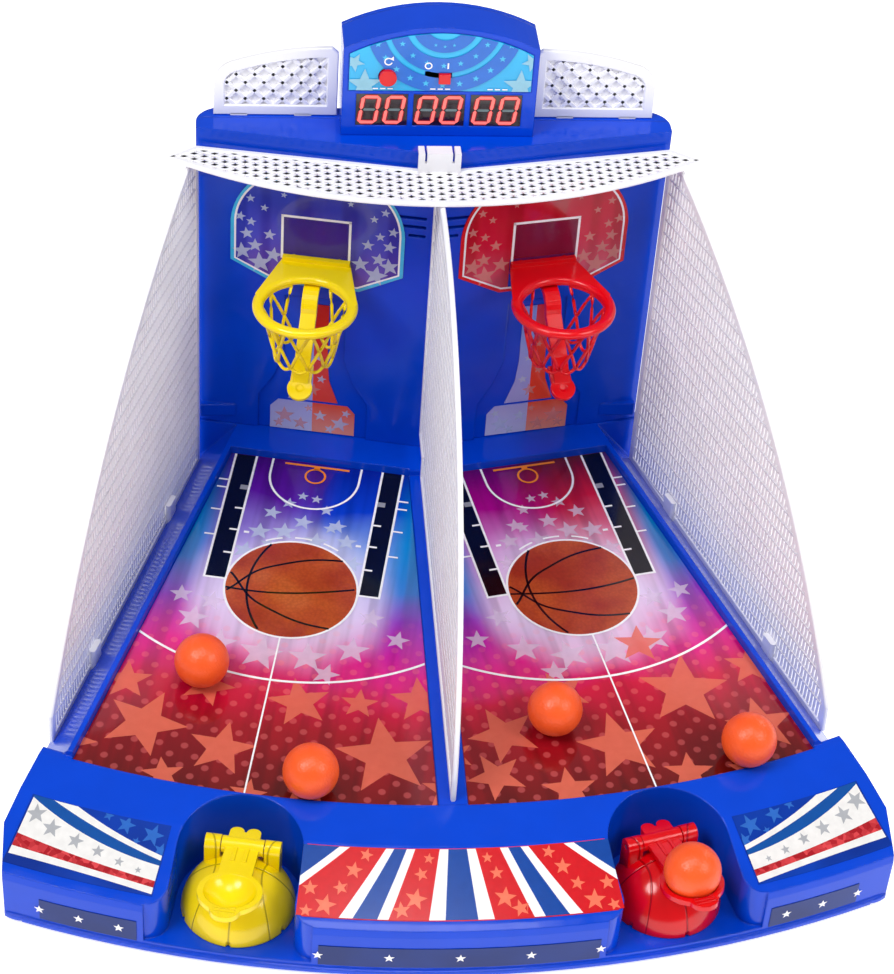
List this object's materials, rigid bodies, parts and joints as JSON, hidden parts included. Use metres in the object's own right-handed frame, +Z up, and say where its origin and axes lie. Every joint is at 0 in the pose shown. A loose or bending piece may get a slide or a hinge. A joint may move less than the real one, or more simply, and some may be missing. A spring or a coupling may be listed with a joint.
{
  "type": "tabletop basketball game machine",
  "caption": "Two player tabletop arcade basketball game with a fan shaped base, finger launchers, netted courts, hoops with scoring paddles and an electronic scoreboard.",
  "frame": {"origin": "middle of the bounding box in plan, on the surface the rubber feet stand on", "axes": "+X to the player's right, +Y toward the back of the machine, +Z up"},
  "size_m": [0.3932, 0.33, 0.293],
  "materials": {
    "blue_shell": "gloss",
    "blue_cover": "satin",
    "steel": "satin",
    "battery": "gloss",
    "feet": "matte",
    "court_left": "gloss print",
    "court_right": "gloss print",
    "label_side": "gloss print",
    "label_centre": "gloss print",
    "label_front": "gloss print",
    "backboard_left": "gloss print",
    "backboard_right": "gloss print",
    "label_stand": "gloss print",
    "label_score": "gloss print",
    "display": "gloss",
    "red_plastic": "gloss",
    "yellow_plastic": "gloss",
    "circuit": "satin",
    "black_plastic": "satin",
    "white_net": "satin",
    "ball_orange": "pebbled satin"
  },
  "bodies": {
    "machine": {"base_shell": "blue_shell", "base_bottom_cover": "blue_cover", "batteries": "battery", "battery_contacts": "steel", "rubber_feet": "feet", "case_screws": "steel", "court_card_left": "court_left", "court_card_right": "court_right", "console_label_left": "label_side", "console_label_centre": "label_centre", "console_label_right": "label_side", "front_star_strips": "label_front", "tower_front_shell": "blue_shell", "tower_rear_cover": "blue_shell", "tower_screws": "steel", "backboard_label_left": "backboard_left", "backboard_label_right": "backboard_right", "stand_labels": "label_stand", "scoreboard_front": "blue_shell", "scoreboard_rear": "blue_shell", "scoreboard_label": "label_score", "display_home": "display", "display_time": "display", "display_guest": "display", "main_board": "circuit", "speaker": "black_plastic", "hoop_left": "yellow_plastic", "hoop_right": "red_plastic", "hoop_net_left": "yellow_plastic", "hoop_net_right": "red_plastic", "paddle_pins": "steel", "score_switches": "black_plastic", "side_net_left": "white_net", "side_net_right": "white_net", "centre_net": "white_net", "top_net": "white_net", "wing_left": "white_net", "wing_right": "white_net", "launcher_pivots": "steel"},
    "launcher_left": {"launcher_base_left": "yellow_plastic", "lever_pin_left": "steel", "lever_spring_left": "steel"},
    "launcher_right": {"launcher_base_right": "red_plastic", "lever_pin_right": "steel", "lever_spring_right": "steel"},
    "lever_left": {"lever_left": "yellow_plastic"},
    "lever_right": {"lever_right": "red_plastic"},
    "paddle_left": {"score_paddle_left": "yellow_plastic"},
    "paddle_right": {"score_paddle_right": "red_plastic"},
    "reset_button": {"reset_button": "red_plastic"},
    "power_switch": {"power_switch_knob": "red_plastic"},
    "battery_door": {"battery_door": "blue_cover", "battery_door_screw": "steel"},
    "ball_1": {"ball_1": "ball_orange"},
    "ball_2": {"ball_2": "ball_orange"},
    "ball_3": {"ball_3": "ball_orange"},
    "ball_4": {"ball_4": "ball_orange"},
    "ball_5": {"ball_5": "ball_orange"}
  },
  "joints": [
    {"name": "swivel_left", "type": "hinge", "parent": "machine", "child": "launcher_left", "pos_m": [-0.09476, -0.12575, 0.007], "axis": [0, 0, 1], "range_deg": [-25, 25]},
    {"name": "flick_left", "type": "hinge", "parent": "launcher_left", "child": "lever_left", "pos_m": [-0.09263, -0.11496, 0.0322], "axis": [0.9811, -0.1934, 0], "range_deg": [0, 8], "stiffness_Nm_per_rad": 0.05, "springref_deg": -14.32},
    {"name": "score_left", "type": "hinge", "parent": "machine", "child": "paddle_left", "pos_m": [-0.05345, 0.14219, 0.162], "axis": [0.9816, -0.1908, 0], "range_deg": [0, 5], "stiffness_Nm_per_rad": 0.01, "springref_deg": -11.46},
    {"name": "swivel_right", "type": "hinge", "parent": "machine", "child": "launcher_right", "pos_m": [0.09476, -0.12575, 0.007], "axis": [0, 0, 1], "range_deg": [-29, 20]},
    {"name": "flick_right", "type": "hinge", "parent": "launcher_right", "child": "lever_right", "pos_m": [0.09179, -0.11516, 0.0322], "axis": [0.9629, 0.2698, 0], "range_deg": [0, 8], "stiffness_Nm_per_rad": 0.05, "springref_deg": -14.32},
    {"name": "score_right", "type": "hinge", "parent": "machine", "child": "paddle_right", "pos_m": [0.05345, 0.14219, 0.162], "axis": [0.9816, 0.1908, 0], "range_deg": [0, 5], "stiffness_Nm_per_rad": 0.01, "springref_deg": -11.46},
    {"name": "reset_press", "type": "slide", "parent": "machine", "child": "reset_button", "axis": [0, 1, 0], "range_m": [0, 0.0015], "stiffness_N_per_m": 300, "springref_m": -0.001},
    {"name": "power_slide", "type": "slide", "parent": "machine", "child": "power_switch", "axis": [-1, 0, 0], "range_m": [0, 0.006]},
    {"name": "battery_door_lift", "type": "slide", "parent": "machine", "child": "battery_door", "axis": [0, 0, -1], "range_m": [0, 0.012]},
    {"name": "ball_1_lift", "type": "slide", "parent": "machine", "child": "ball_1", "axis": [0, 0, 1], "range_m": [0, 0.1]},
    {"name": "ball_2_lift", "type": "slide", "parent": "machine", "child": "ball_2", "axis": [0, 0, 1], "range_m": [0, 0.1]},
    {"name": "ball_3_lift", "type": "slide", "parent": "machine", "child": "ball_3", "axis": [0, 0, 1], "range_m": [0, 0.1]},
    {"name": "ball_4_lift", "type": "slide", "parent": "machine", "child": "ball_4", "axis": [0, 0, 1], "range_m": [0, 0.1]},
    {"name": "ball_5_lift", "type": "slide", "parent": "lever_right", "child": "ball_5", "axis": [0, 0, 1], "range_m": [0, 0.1]}
  ]
}
